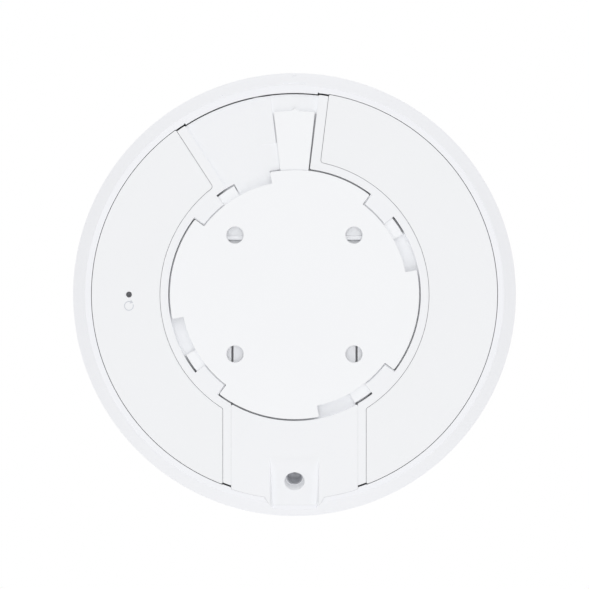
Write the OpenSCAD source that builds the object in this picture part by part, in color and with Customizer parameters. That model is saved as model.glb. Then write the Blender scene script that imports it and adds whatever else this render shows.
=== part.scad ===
// Ceiling access point: a round radio unit that twists on to a ceiling bracket.
// Origin: centre of the bracket's ceiling face. +Z points up into the ceiling, the unit hangs below it.
// +Y points to the bracket's locking tongue. Angles run anticlockwise from +X, seen from the ceiling.

/* [Overall] */
// Largest diameter of the unit
overall_d = 160; // [158:1:166]
// Depth from the ceiling to the front face
overall_h = 33; // [32.5:0.5:35]
// Wall thickness of the front cover
wall_t = 2.2; // [2:0.1:2.4]

/* [Rear face] */
// Outer radius of the flat rear ring
ring_r = 74; // [73.8:0.1:74.4]
// Radius of the seam inside the rear ring
seam_r = 71.65; // [71.55:0.05:71.85]
// Inner radius of the two wing panels
wing_r = 47.6; // [47:0.1:48.5]
// Width of the strips beside the tongue bay
strip_w = 3.5; // [3:0.1:4]
// Distance from the centre line to each wing panel's lower edge
wing_x = 25.4; // [25:0.1:27]
// Half width of the cable cover
cover_x = 22.4; // [22:0.1:22.8]
// Thickness of the wing panels
wing_t = 1.8; // [1.6:0.1:1.9]

/* [Bracket] */
// Radius of the bracket disc
plate_r = 44; // [43.6:0.1:44.1]
// Thickness of the bracket disc
plate_t = 1.8; // [1.6:0.1:2]
// Spacing of the four ceiling screws, the same both ways
screw_spacing = 42; // [38:1:44]
// Diameter of the ceiling screw holes
screw_hole_d = 6; // [4.5:0.5:6.5]
// Radius of the disc inside the bayonet notches
notch_r = 40; // [39.6:0.1:40.2]

/* [Cable outlet] */
// Width of the channel in the cable cover
channel_w = 17; // [15:1:18]
// Slope of the channel floor, in degrees
ramp_tilt = 25; // [22:1:27]
// Diameter of the outlet's mouth
outlet_d = 7.1; // [6.5:0.1:7.5]
// Diameter of the cable passage
passage_d = 5.9; // [5:0.1:6]

/* [Reset] */
// Diameter of the reset pinhole
pinhole_d = 2.1; // [1.5:0.1:2.4]
// Distance from the centre to the reset pinhole
pinhole_x = 58.5; // [57:0.5:60]

/* [Hidden] */
$fn = 96;

// Heights, all measured from the ceiling
z_wing = -1;        // top of the wing panels
z_rim = -0.8;       // top of the rim ring, the strips and the cable cover
z_ring = -0.8;      // top of the rear ring
z_bay = -2.7;       // floor of the tongue bay
z_deck = -4.5;      // deck under the wing panels
deck_t = 1.5;
z_well = -3.7;      // floor of the well behind the bracket
z_tray = -15;       // floor of the port tray and the cable trough
z_board = -18;      // rear side of the main board
board_t = 1.6;
z_spreader = -22.6; // rear side of the heat spreader
spreader_t = 1.6;
z_led = -27.4;      // rear side of the light board
led_t = 1;
ring_t = 2;         // thickness of the rear ring
eps = 0.5;          // how far a cutting shape passes a face

// Bayonet, as angles of the first of four places
notch_a0 = 101.4;
notch_a1 = 142.9;
tab_a0 = 128.2;
tab_a1 = 142.3;
ear_a0 = 119.1;
ear_a1 = 141.5;
tab_r = 40.4;
tab_t = 1.1;
ear_r = 43.9;
z_ear = -2.1;
ear_t = 1.3;
skirt_r = 39.8;
skirt_t = 2;
rim_r = 44.6;
boss_r = 5.5;
boss_h = 1.1;

// Locking tongue and its bay
tongue_a0 = 83.6;
tongue_a1 = 96.5;
tongue_r = 64.9;
tongue_t = 1.5;
pointer_h = 1.1;
pointer_w = 2.6;
bay_a0 = 83;
bay_a1 = 123;
bay_r = 70.9;
ridge_a = 97.2;
ridge_r0 = 54;
ridge_r1 = 70.8;
ridge_w = 6;
ridge_top_w = 0.6;
z_ridge = -2.1;

// Front cover
wide_r = overall_d / 2;
z_front = -overall_h;
z_wide = z_front + 13;
cover_open_r = seam_r + 0.2;
side_r = wide_r - 0.22;
side_k = (side_r - ring_r) / (z_ring - z_wide);
face_r = 62;
light_r0 = 22.4;
light_r1 = 25;
light_groove = 1;
window_a = 78;
leg_inset = 0.3;
release_d = 1.6;
release_tilt = 38;
release_y = 61.4;
bay_lip_r = 71.3;
bay_lip_gap = 0.4;  // degrees left free at each end of the bay
locked_a = 90;
unlocked_a = 110;
mark_w = 8;
mark_depth = 0.3;
post_r = 67;
post_a = [42, 138, 222, 318];
post_d = 6.4;

// Rear frame
frame_r = 71.05;
wall = 1.5;
ledge = 1.5;
standoff_r = 50;
standoff_a = [30, 150, 210, 330];
standoff_d = 5.2;
tray_x = 26;
tray_y0 = -16;
tray_y1 = 19.4;
step_y = 17.9;       // the tray's edge has a shallow step behind the screw holes
step_h = 0.8;
ramp_r = 40.6;       // foot of the ramp from a bayonet pocket up to the bay
ramp_a1 = 118.6;
trough_x = 22.35;
bead_w = 1.4;
bead_h = 0.5;
wing_corner = 1;

// Cable cover
cover_gap = 0.05;
cover_t = 1.6;
cover_r = 72.3;
lip_x0 = 10.6;
lip_y = -75;
ramp_y = -57.2;
outlet_y = -66.3;
outlet_depth = 3;
outlet_boss_d = 10.4;
outlet_boss_h = 6.2;
grommet_t = 0.35;
grommet_flange_t = 1.6;
shelf_x = 21.6;
channel_x = channel_w / 2;
z_outlet = z_rim + (outlet_y - ramp_y) * tan(ramp_tilt);

// Electronics
board_r = 62.5;
jack_w = 16;
jack_l = 16;
jack_y0 = 2.4;
jack_top = -6.9;
jack_sheet = 0.4;
shield_h = 2;
pad_t = 1;
screw_r = 1.2;
switch_w = 6;
switch_h = 3.1;
plunger_r = 1.6;
guide_r = 1.65;
button_r = 1.7;
button_z = -13.9;
z_guide = -12;

function bezier(p, n) = [for (i = [0:n]) let (t = i / n, u = 1 - t)
    u * u * u * p[0] + 3 * u * u * t * p[1] + 3 * u * t * t * p[2] + t * t * t * p[3]];

// Half section of the outer form, inset by t, from the side's lower end round to the front's centre
function shoulder(t) = bezier([[side_r - 1.04 * t, z_wide], [side_r + 4 * side_k - 1.04 * t, z_wide - 4],
    [wide_r - 2.5 - t, z_front + 1.9 + t], [face_r, z_front + 0.9 + t]], 12);
function face(t) = bezier([[face_r, z_front + 0.9 + t], [face_r - 12, z_front + 0.13 + t],
    [face_r / 3, z_front + t], [0, z_front + t]], 8);
function outer_section(up) = concat([[0, z_ring + up], [ring_r - side_k * up, z_ring + up]],
    shoulder(0), face(0));
function inner_section() = concat([[0, z_ring - ring_t],
    [ring_r - 1.04 * wall_t + ring_t * side_k, z_ring - ring_t]],
    shoulder(wall_t), face(wall_t));

module arc_block(r_in, r_out, z_lo, z_hi, a0 = 0, a1 = 360)
    rotate_extrude(angle = a1 - a0, start = a0)
        translate([r_in, z_lo]) square([r_out - r_in, z_hi - z_lo]);

module disc(r, z_lo, z_hi) translate([0, 0, z_lo]) cylinder(r = r, h = z_hi - z_lo);

module post(x, y, r, z_lo, z_hi) translate([x, y, z_lo]) cylinder(r = r, h = z_hi - z_lo);

module box(x0, x1, y0, y1, z0, z1) translate([x0, y0, z0]) cube([x1 - x0, y1 - y0, z1 - z0]);

module at_polar(r, angles) for (a = angles) rotate(a) translate([r, 0, 0]) children();

module screw_places() for (x = [-1, 1], y = [-1, 1])
    translate([x * screw_spacing / 2, y * screw_spacing / 2, 0]) children();

module quarter_turns() for (q = [0:3]) rotate(90 * q) children();

// The outer form, with its side drawn on above the rear ring by up
module outer_form(up = 0) rotate_extrude() polygon(outer_section(up));

// Half plane on the left of a ray at angle a, moved off the ray by d
module left_of(a, d) rotate(a) translate([-150, d]) square([300, 150]);
module right_of(a, d) rotate(a) translate([-150, -150 - d]) square([300, 150]);

// Plan of a wing panel, pulled in by g on every side
module wing_plan(side, g, corner) {
    offset(r = corner) offset(delta = -corner) intersection() {
        difference() {
            circle(r = seam_r - g, $fn = 300);
            circle(r = wing_r + g, $fn = 300);
        }
        if (side > 0) right_of(bay_a0, strip_w + g);
        else left_of(bay_a1, strip_w + g);
        union() {
            translate([-150, 0]) square([300, 150]);
            translate([side > 0 ? wing_x + g : -150 - wing_x - g, -150]) square([150, 150 + eps]);
        }
    }
}

// Everything above the tilted plane of the channel floor, sunk by d
module above_ramp(half_w, d, y_end)
    intersection() {
        translate([0, ramp_y, z_rim]) rotate([ramp_tilt, 0, 0]) translate([-half_w, -60, -d])
            cube([2 * half_w, 60, 60]);
        box(-half_w, half_w, y_end, 0, -40, 5);
    }

// ---- Bracket ----

module mounting_plate() color("white") difference() {
    union() {
        disc(plate_r, -plate_t, 0);
        arc_block(skirt_r - skirt_t, skirt_r, z_ear - ear_t, -plate_t);
        quarter_turns() arc_block(skirt_r - skirt_t / 2, ear_r, z_ear - ear_t, z_ear, ear_a0, ear_a1);
        screw_places() disc(boss_r, -plate_t - boss_h, -plate_t);
    }
    quarter_turns() arc_block(notch_r, plate_r + eps, -plate_t - eps, eps, notch_a0, notch_a1);
    screw_places() disc(screw_hole_d / 2, -10, eps);
}

module latch_tongue() color("white") {
    arc_block(plate_r, tongue_r, z_wing - tongue_t, z_wing, tongue_a0, tongue_a1);
    translate([0, 0, z_wing - tongue_t]) linear_extrude(tongue_t)
        polygon([[-pointer_w / 2, tongue_r - eps], [pointer_w / 2, tongue_r - eps],
                 [pointer_w / 2, tongue_r - 0.05], [0, tongue_r + pointer_h],
                 [-pointer_w / 2, tongue_r - 0.05]]);
}

// ---- Housing ----

module cover_posts() {
    at_polar(post_r, post_a) post(0, 0, post_d / 2, z_front + 1, z_deck - deck_t);
    at_polar(27.4, [30, 150, 270]) {
        post(0, 0, 1.8, z_front + 1, z_led - led_t);
        post(0, 0, 0.9, z_led - led_t - 0.1, z_led + 0.4);
    }
}

module front_cover() color("whitesmoke") difference() {
    union() {
        difference() {
            outer_form();
            rotate_extrude() polygon(inner_section());
            disc(cover_open_r, z_ring - ring_t - eps, eps);
        }
        arc_block(bay_lip_r, cover_open_r + eps, z_ring - ring_t, z_ring,
                  bay_a0 + bay_lip_gap, bay_a1 - bay_lip_gap);
        intersection() {
            outer_form();
            cover_posts();
        }
    }
    at_polar(post_r, post_a) post(0, 0, screw_r + 0.05, -18, 0);
    // Light ring's groove, and the four windows behind it
    arc_block(light_r0, light_r1, z_front - eps, z_front + light_groove);
    for (q = [0:3]) arc_block(light_r0 + leg_inset, light_r1 - leg_inset, z_front, z_front + 5,
                              90 * q - window_a / 2, 90 * q + window_a / 2);
    // Notch for the cable cover and the end of its channel
    cover_notch();
    above_ramp(channel_x, 0, -90);
    // Release hole for a pin that lifts the tongue
    release_hole();
    // Alignment marks in the side: a line for locked and a dot for unlocked
    side_mark(locked_a, -4) box(-mark_w / 2, mark_w / 2, -0.6, 0.6, -mark_depth, 1);
    side_mark(unlocked_a, -4.5) post(0, 0, 0.6, -mark_depth, 1);
}

module release_hole() translate([0, release_y, z_wing - tongue_t]) rotate([90 - release_tilt, 0, 0])
    rotate([0, 180, 0]) cylinder(d = release_d, h = 30);

// Places children square to the side at angle a and height z, with +Z outwards
module side_mark(a, z) rotate(a - 90) translate([0, ring_r + side_k * (z_ring - z), z])
    rotate([atan(side_k) - 90, 0, 0]) children();

module cover_plan(g) {
    intersection() {
        difference() {
            circle(cover_r + g);
            circle(rim_r - g);
        }
        translate([-cover_x - g, -90]) square([2 * cover_x + 2 * g, 60]);
    }
    lip_plan(g);
}

module lip_plan(g) polygon([[-lip_x0 - g, -71], [-lip_x0 - g, -71.5], [-channel_x - g, lip_y - g],
    [channel_x + g, lip_y - g], [lip_x0 + g, -71.5], [lip_x0 + g, -71]]);

module cover_notch() {
    g = cover_gap;
    translate([0, 0, z_rim - cover_t - g]) linear_extrude(20) cover_plan(g);
    intersection() {
        translate([0, 0, -30]) linear_extrude(40) union() {
            lip_plan(g);
            translate([-lip_x0 - g, -71.2]) square([2 * (lip_x0 + g), 10]);
        }
        above_ramp(lip_x0 + 1, cover_t + g, -90);
    }
}

module light_ring() color("lightcyan") {
    difference() {
        arc_block(light_r0 + 0.05, light_r1 - 0.05, z_front - 2, z_front + light_groove);
        difference() {
            disc(40, z_front - 5, z_front + 3);
            outer_form();
        }
    }
    for (q = [0:3]) arc_block(light_r0 + leg_inset + 0.05, light_r1 - leg_inset - 0.05,
                              z_front + light_groove - 0.1, z_led - led_t - 0.8,
                              90 * q - window_a / 2 + 0.5, 90 * q + window_a / 2 - 0.5);
}

module rear_frame() color("white") {
    frame_shell();
    locking_ridge();
    pocket_ramp();
}

module frame_shell() difference() {
    union() {
        // Deck, outer wall and rim ring
        arc_block(rim_r, frame_r, z_deck - deck_t, z_deck);
        arc_block(frame_r - wall, frame_r, z_deck, z_wing - wing_t);
        arc_block(rim_r, wing_r + ledge, z_deck, z_wing - wing_t);
        arc_block(rim_r, wing_r - 0.2, z_deck, z_rim);
        // Well
        disc(rim_r + wall, z_well - wall, z_well);
        box(-tray_x - bead_w, tray_x + bead_w, tray_y0 - bead_w, tray_y1 + bead_w, z_well, z_well + bead_h);
        // Port tray and cable trough
        box(-tray_x - wall, tray_x + wall, tray_y0 - wall, tray_y1 + wall, z_tray - wall, z_well);
        intersection() {
            box(-trough_x - wall, trough_x + wall, -90, tray_y0, z_tray - wall, z_deck);
            disc(frame_r, -30, 0);
        }
        arc_block(rim_r, frame_r, z_deck - deck_t, z_bay, bay_a0, bay_a1);
        side_strips();
        quarter_turns() bayonet_tab();
        // Standoffs for the main board, and the reset guide
        at_polar(standoff_r, standoff_a) post(0, 0, standoff_d / 2, z_board, z_deck - deck_t);
        post(-pinhole_x, 0, plunger_r + wall, z_guide, z_deck);
    }
    // Tongue bay
    arc_block(rim_r - eps, frame_r + eps, z_bay, eps, bay_a0, bay_a1);
    arc_block(bay_r, frame_r + eps, z_deck - deck_t - eps, eps, bay_a0, bay_a1);
    // Inside of the port tray and of the cable trough
    box(-tray_x, tray_x, tray_y0, step_y, z_tray, eps);
    box(-tray_x, tray_x, step_y - eps, tray_y1, z_well - step_h, eps);
    intersection() {
        box(-trough_x, trough_x, -90, tray_y0 + eps, z_tray, eps);
        disc(frame_r - wall, -30, 5);
    }
    intersection() {
        box(-cover_x, cover_x, -90, -30, z_rim - cover_t, eps);
        arc_block(rim_r - eps, frame_r + eps, -30, 5);
    }
    intersection() {
        box(-lip_x0 - 0.4, lip_x0 + 0.4, -90, -60, -30, 5);
        above_ramp(20, cover_t + 0.2, -90);
    }
    outlet_tube(outlet_boss_d + 0.6, -5, 16);
    // Opening for the jack
    box(-jack_w / 2 - 0.3, jack_w / 2 + 0.3, jack_y0 - 0.3, jack_y0 + jack_l + 0.3, -20, 0);
    // Screw holes, reset guide, release hole
    at_polar(standoff_r, standoff_a) post(0, 0, screw_r + 0.1, z_board - eps, z_deck - deck_t - 2);
    at_polar(post_r, post_a) post(0, 0, screw_r + 0.2, -10, 0);
    post(-pinhole_x, 0, guide_r, z_guide - eps, 0);
    release_hole();
    for (s = [-1, 1]) wing_pins(s) cylinder(r = 1.6, h = 10, center = true);
}

// Strips between the wing panels and the bays, with the ledges that carry the panels
module side_strips() intersection() {
    arc_block(rim_r, frame_r, z_deck - deck_t, 0);
    union() {
        for (s = [-1, 1]) {
            translate([0, 0, z_deck]) linear_extrude(z_rim - z_deck) {
                translate([s > 0 ? trough_x : -wing_x + 0.2, -90])
                    square([wing_x - trough_x - 0.2, 60]);
            }
            translate([0, 0, z_deck]) linear_extrude(z_wing - wing_t - z_deck) {
                translate([s > 0 ? trough_x : -wing_x - ledge, -90])
                    square([wing_x - trough_x + ledge, 60]);
            }
        }
        translate([0, 0, z_deck]) {
            linear_extrude(z_rim - z_deck) {
                rotate(bay_a0) translate([40, -strip_w + 0.2]) square([40, strip_w - 0.2]);
                rotate(bay_a1) translate([40, 0]) square([40, strip_w - 0.2]);
            }
            linear_extrude(z_wing - wing_t - z_deck) {
                rotate(bay_a0) translate([40, -strip_w - ledge]) square([40, strip_w + ledge]);
                rotate(bay_a1) translate([40, 0]) square([40, strip_w + ledge]);
            }
        }
    }
}

module locking_ridge() rotate(ridge_a) translate([ridge_r0, 0, 0])
    rotate([90, 0, 90]) linear_extrude(ridge_r1 - ridge_r0)
        polygon([[0, z_bay - 0.5], [ridge_w, z_bay - 0.5], [ridge_w, z_bay],
                 [ridge_top_w, z_ridge], [0, z_ridge]]);

module pocket_ramp() rotate_extrude(angle = ramp_a1 - notch_a0, start = notch_a0)
    polygon([[ramp_r, z_well - 0.5], [rim_r + 0.5, z_well - 0.5], [rim_r + 0.5, z_bay], [rim_r, z_bay],
             [ramp_r, z_well]]);

module bayonet_tab() arc_block(tab_r, rim_r + 1, z_rim - tab_t, z_rim, tab_a0, tab_a1);

module wing_pins(side) for (p = [[58, 46], [56, -8], [60, -52]])
    rotate(side > 0 ? p[1] : 180 - p[1]) translate([p[0], 0, z_deck]) children();

module wing_panel(side) {
    translate([0, 0, z_wing - wing_t]) linear_extrude(wing_t) wing_plan(side, 0, wing_corner);
    wing_pins(side) translate([0, 0, -1.2]) cylinder(r = 1.5, h = z_wing - wing_t - z_deck + 1.3);
}

module left_wing_panel() color("white") difference() {
    wing_panel(-1);
    post(-pinhole_x, 0, pinhole_d / 2, -10, 0);
}

module right_wing_panel() color("white") wing_panel(1);

module cable_cover() color("white") difference() {
    union() {
        intersection() {
            translate([0, 0, z_rim - cover_t]) linear_extrude(cover_t) cover_plan(-cover_gap);
            outer_form(1);
        }
        intersection() {
            translate([0, 0, -30]) linear_extrude(30 + z_rim) intersection() {
                union() {
                    lip_plan(0);
                    translate([-lip_x0, -71.2]) square([2 * lip_x0, 12.2]);
                }
                translate([-channel_x - wall, -90]) square([channel_w + 2 * wall, 60]);
            }
            above_ramp(20, cover_t, -90);
            outer_form(1);
        }
        outlet_tube(outlet_boss_d, 1, outlet_boss_h - 1);
        // Riser in the well's wall, and the shelf over the trough
        intersection() {
            arc_block(rim_r, rim_r + wall, z_well - wall, z_rim - eps);
            box(-shelf_x, shelf_x, -60, -30, -30, 0);
        }
        intersection() {
            disc(rim_r + wall, z_well - wall, z_well);
            box(-shelf_x, shelf_x, -60, tray_y0 - 0.4, -30, 0);
        }
    }
    above_ramp(channel_x, 0, -90);
    outlet_tube(outlet_d, -10, 10 + outlet_depth);
    outlet_tube(passage_d, 0, 12);
}

// Cylinder square to the channel floor, from depth a, of length h
module outlet_tube(d, a, h) translate([0, outlet_y, z_outlet]) rotate([ramp_tilt, 0, 0])
    translate([0, 0, -a - h]) cylinder(d = d, h = h);

module cable_grommet() color("dimgray") difference() {
    union() {
        outlet_tube(passage_d - 0.1, outlet_depth + 0.1, outlet_boss_h - outlet_depth + 0.4);
        outlet_tube(outlet_boss_d - 2, outlet_boss_h, grommet_flange_t);
    }
    outlet_tube(passage_d - 2 * grommet_t, 0, 14);
}

// ---- Electronics ----

module heat_spreader() color("silver") difference() {
    union() {
        disc(board_r, z_spreader - spreader_t, z_spreader);
        at_polar(standoff_r, standoff_a) post(0, 0, 3, z_spreader - eps, z_board - board_t);
    }
    at_polar(standoff_r, standoff_a) post(0, 0, screw_r + 0.2, -30, 0);
    at_polar(lead_r, cable_angles()) post(0, 0, 1.4, -30, 0);
    box(12, 20, -3, 3, -30, -20);
}

function cable_angles() = concat([for (a = antenna5_a) a + 24], [for (a = antenna2_a) a + 16]);
antenna5_a = [0, 90, 180, 270];
antenna2_a = [60, 240];
antenna_r = 46;
lead_r = 47.2;
cable_r = 0.65;
sleeve_r = 1.05;
z_foot = z_spreader - spreader_t;

module main_board() color("seagreen") difference() {
    disc(board_r, z_board - board_t, z_board);
    at_polar(standoff_r, standoff_a) post(0, 0, screw_r + 0.2, -30, 0);
}

module jack_shield() color("silver") difference() {
    box(-jack_w / 2, jack_w / 2, jack_y0, jack_y0 + jack_l, z_board, jack_top);
    box(-jack_w / 2 + jack_sheet, jack_w / 2 - jack_sheet, jack_y0 - eps, jack_y0 + jack_l - jack_sheet,
        z_board - eps, jack_top - jack_sheet);
}

module jack_insert() color("dimgray") difference() {
    box(-jack_w / 2 + jack_sheet, jack_w / 2 - jack_sheet, jack_y0, jack_y0 + jack_l - jack_sheet,
        z_board, jack_top - jack_sheet);
    box(-5.9, 5.9, jack_y0 - eps, jack_y0 + 12.5, -15.6, -8.6);
    box(-3.2, 3.2, jack_y0 - eps, jack_y0 + 12.5, -17, -15);
    box(-1.7, 1.7, jack_y0 - eps, jack_y0 + 9, -17.6, -16);
}

module jack_contacts() color("gold") for (i = [0:7])
    translate([(i - 3.5) * 1.02, jack_y0, 0]) rotate([90, 0, 90]) linear_extrude(0.35)
        polygon([[12.4, -8.65], [12.4, -8.95], [4.1, -11.2], [3.1, -9.6], [3.4, -9.45], [4.25, -10.8]]);

module processor_shield() color("lightgray") can(-4, 24, 26, 22);

module radio_shields() color("lightgray") {
    can(-27, -12, 22, 24);
    can(24, -20, 26, 20);
}

// Shield can on the front side of the board, open towards the board
module can(x, y, w, l) translate([x, y, z_board - board_t - shield_h / 2]) difference() {
    cube([w, l, shield_h], center = true);
    translate([0, 0, 0.25]) cube([w - 0.5, l - 0.5, shield_h], center = true);
}

module thermal_pads() color("lightblue") for (p = [[-4, 24, 20], [-27, -12, 16], [24, -20, 18]])
    translate([p[0], p[1], z_board - board_t - shield_h - pad_t / 2])
        cube([p[2], p[2] - 2, pad_t], center = true);

module board_capacitors() color("slategray") for (p = [[34, 32], [44, 12], [-34, 32]])
    post(p[0], p[1], 3.1, z_board, z_board + 7);

module antenna(w, l, h) translate([antenna_r, 0, z_foot - h]) {
    translate([-l / 2, -w / 2, 0]) cube([l, w, 0.5]);
    translate([l / 2 - 0.5, -w / 4, 0]) cube([0.5, w / 2, h]);
    translate([lead_r + 0.7 - antenna_r, -w / 4, h - 0.5])
        cube([antenna_r + l / 2 - lead_r - 0.7, w / 2, 0.5]);
}

module antennas_5ghz() color("goldenrod") for (a = antenna5_a) rotate(a) antenna(12, 9, 4.4);

module antennas_2ghz() color("goldenrod") for (a = antenna2_a) rotate(a) antenna(20, 12, 5);

// Coaxial lead: an arc over the heat spreader's front, and a crimp sleeve up through it to the board
module lead(a0, a1) {
    z = z_foot - cable_r - 0.05;
    rotate_extrude(angle = a1 - a0, start = a0) translate([lead_r, z]) circle(cable_r);
    rotate(a1) post(lead_r, 0, sleeve_r, z - sleeve_r, z_board - board_t);
}

module antenna_cables() color("black") {
    for (a = antenna5_a) lead(a, a + 24);
    for (a = antenna2_a) lead(a, a + 16);
}

module led_board() color("seagreen") difference() {
    arc_block(18, 30, z_led - led_t, z_led);
    at_polar(27.4, [30, 150, 270]) post(0, 0, 0.95, -40, 0);
}

module status_leds() color("white") for (q = [0:7])
    rotate(45 * q + 22.5) box(22.9, 24.5, -1.6, 1.6, z_led - led_t - 0.6, z_led - led_t);

module led_ribbon() color("orange") {
    box(18.5, 19, -2.5, 2.5, z_led, z_board - board_t);
}

module reset_switch() color("gray") difference() {
    box(-pinhole_x - switch_w / 2, -pinhole_x + switch_w / 2, -switch_w / 2, switch_w / 2,
        z_board, z_board + switch_h);
    post(-pinhole_x, 0, button_r + 0.05, z_board + 1.6, 0);
}

module reset_button() color("black") post(-pinhole_x, 0, button_r, button_z - 1.8, button_z);

module reset_plunger() color("lightgray") post(-pinhole_x, 0, plunger_r, button_z, z_deck - 0.4);

// ---- Fasteners ----

module pan_screw(head_r, head_h, shank_r, length) {
    difference() {
        cylinder(r = head_r, h = head_h);
        translate([-0.35, -1.4, head_h - 0.8]) cube([0.7, 2.8, 1]);
        translate([-1.4, -0.35, head_h - 0.8]) cube([2.8, 0.7, 1]);
    }
    translate([0, 0, -length]) cylinder(r = shank_r, h = length);
}

module housing_screws() color("silver") at_polar(post_r, post_a)
    translate([0, 0, z_deck]) pan_screw(2.2, 1.5, screw_r, 12);

module board_screws() color("silver") at_polar(standoff_r, standoff_a)
    translate([0, 0, z_foot]) mirror([0, 0, 1]) pan_screw(2.2, 1.5, screw_r, 14);

mounting_plate();
latch_tongue();
front_cover();
light_ring();
rear_frame();
left_wing_panel();
right_wing_panel();
cable_cover();
cable_grommet();
heat_spreader();
main_board();
jack_shield();
jack_insert();
jack_contacts();
processor_shield();
radio_shields();
thermal_pads();
board_capacitors();
antennas_5ghz();
antennas_2ghz();
antenna_cables();
led_board();
status_leds();
led_ribbon();
reset_switch();
reset_button();
reset_plunger();
housing_screws();
board_screws();
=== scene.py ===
"""Looks of the ceiling access point, seen from its rear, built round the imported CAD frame.

Shapes are drawn in millimetres in the CAD's own frame and turned to metres when a piece is finished.
Angles run anticlockwise from +X as seen from the ceiling, in degrees.
"""
import math

import bmesh
import bpy
from mathutils import Matrix, Vector


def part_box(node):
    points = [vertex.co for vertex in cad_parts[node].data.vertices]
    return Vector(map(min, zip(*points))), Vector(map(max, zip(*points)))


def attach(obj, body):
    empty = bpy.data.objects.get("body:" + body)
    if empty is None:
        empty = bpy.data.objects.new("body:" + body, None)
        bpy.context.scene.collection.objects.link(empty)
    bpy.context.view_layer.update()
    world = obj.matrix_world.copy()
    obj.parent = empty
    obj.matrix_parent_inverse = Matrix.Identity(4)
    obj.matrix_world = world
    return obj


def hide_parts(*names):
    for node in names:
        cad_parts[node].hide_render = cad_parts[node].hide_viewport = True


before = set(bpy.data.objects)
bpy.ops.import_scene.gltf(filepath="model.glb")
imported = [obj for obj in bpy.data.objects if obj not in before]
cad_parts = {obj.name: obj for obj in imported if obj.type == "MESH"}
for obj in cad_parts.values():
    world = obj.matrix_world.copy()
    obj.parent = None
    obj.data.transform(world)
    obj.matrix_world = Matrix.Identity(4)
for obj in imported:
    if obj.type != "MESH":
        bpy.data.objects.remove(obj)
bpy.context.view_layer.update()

MM = 0.001
ARC_STEP = 1.25         # degrees between the points of an arc
ROUND_STEPS = 3         # facets in a rounded edge
SHARP_ANGLE = 32        # edges sharper than this stay crisp, in degrees
EDGE = 0.22             # radius of a moulded edge
FINE_EDGE = 0.12        # radius of a thin piece's edge
SEAM_EDGE = 0.05        # radius beside a close-fitting seam
PAST = 0.5              # how far a cutting shape passes a face


def box_mm(node):
    """Lowest and highest corner of a CAD node, in millimetres."""
    low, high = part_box(node)
    return low / MM, high / MM


# ---------------------------------------------------------------- sizes

plate_low, plate_high = box_mm("mounting_plate")
tongue_low, tongue_high = box_mm("latch_tongue")
cover_low, cover_high = box_mm("front_cover")
frame_low, frame_high = box_mm("rear_frame")
wing_low, wing_high = box_mm("right_wing_panel")
lid_low, lid_high = box_mm("cable_cover")
light_low, light_high = box_mm("light_ring")

# Heights
Z_FRONT = cover_low.z
Z_RING = cover_high.z
Z_WING = wing_high.z
Z_RIM = lid_high.z
Z_TONGUE = tongue_high.z
Z_BAY = -2.7
Z_WELL = -3.7
Z_DECK = -4.5
Z_TRAY = -15
Z_BOARD = frame_low.z
Z_LEDGE = Z_WING - 1.8
DECK_T = 1.5
RING_T = 2
WALL = 1.5

# Bracket and tongue
PLATE_R = plate_high.x
PLATE_T = 1.8
NOTCH_R = 40
NOTCH = (101.4, 142.9)
TAB = (128.2, 142.3)
EAR = (119.1, 141.5)
TAB_R = 40.4
TAB_T = 1.1
TAB_LIP_R = NOTCH_R + 0.08
TAB_LIP_END = NOTCH[1] - 0.12
TAB_LIP_DROP = 0.45     # how far the lip round each tab lies below its top
EAR_R = 43.9
EAR_T = 1.3
Z_EAR = -2.1
SKIRT_R = 39.8
SKIRT_T = 2
RIM_R = 44.6
BOSS_R = 5.5
BOSS_H = 1.1
SCREW_X = 21
SCREW_HOLE_R = 3
TONGUE = (83.6, 96.5)
TONGUE_R = tongue_high.y - 1.1
TONGUE_T = tongue_high.z - tongue_low.z
POINTER_X = 1.6
BAY = (83, 123)
BAY_R = 70.9
BAY_LIP_R = 71.3
BAY_LIP_GAP = 0.4

# Rear frame, wing panels and the strips between them
FRAME_R = frame_high.x
SEAM_R = wing_high.x
WING_R = 47.6
STRIP_W = 3.5
WING_X = 25.4
STRIP_GAP = 0.14
WING_CORNERS = (0.5, 1.1)   # at the outer seam and at the rim ring
LEDGE = 1.5
RIDGE_A = 96.9
RIDGE_R = (54, 70.8)
RAMP_R = 40.6
RAMP_END = 118.6
SCRIBE_A = 290.7
RIDGE_W = 6
RIDGE_TOP_W = 0.6
Z_RIDGE = -2.1
TRAY = (-26, 26, -16, 19.4)
STEP_Y = 17.9
STEP_H = 0.45
TROUGH_X = 22.35
BEAD_W = 1.4
BEAD_H = 0.5
STANDOFF_R = 50
STANDOFF_A = (30, 150, 210, 330)
WING_PINS = ((58, 46), (56, -8), (60, -52))

# Front cover
WIDE_R = cover_high.x
SIDE_R = WIDE_R - 0.22
RING_R = 74
Z_WIDE = Z_FRONT + 13
SIDE_SLOPE = (SIDE_R - RING_R) / (Z_RING - Z_WIDE)
OPEN_R = SEAM_R + 0.2
STRIP_LIP_R = 71.68
FACE_R = 62
COVER_WALL = 2.2
POST_R = 67
POST_A = (42, 138, 222, 318)
LIGHT_R = (22.4, 25)
GROOVE = 1
WINDOW = 78
PEG_R = 27.4
PEG_A = (30, 150, 270)
LOCKED_MARK = (90, -4)      # angle and height of the line
UNLOCKED_MARK = (110, -4.5) # angle and height of the dot
MARK_W = 8
MARK_R = 0.6
MARK_DEPTH = 0.3

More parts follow.
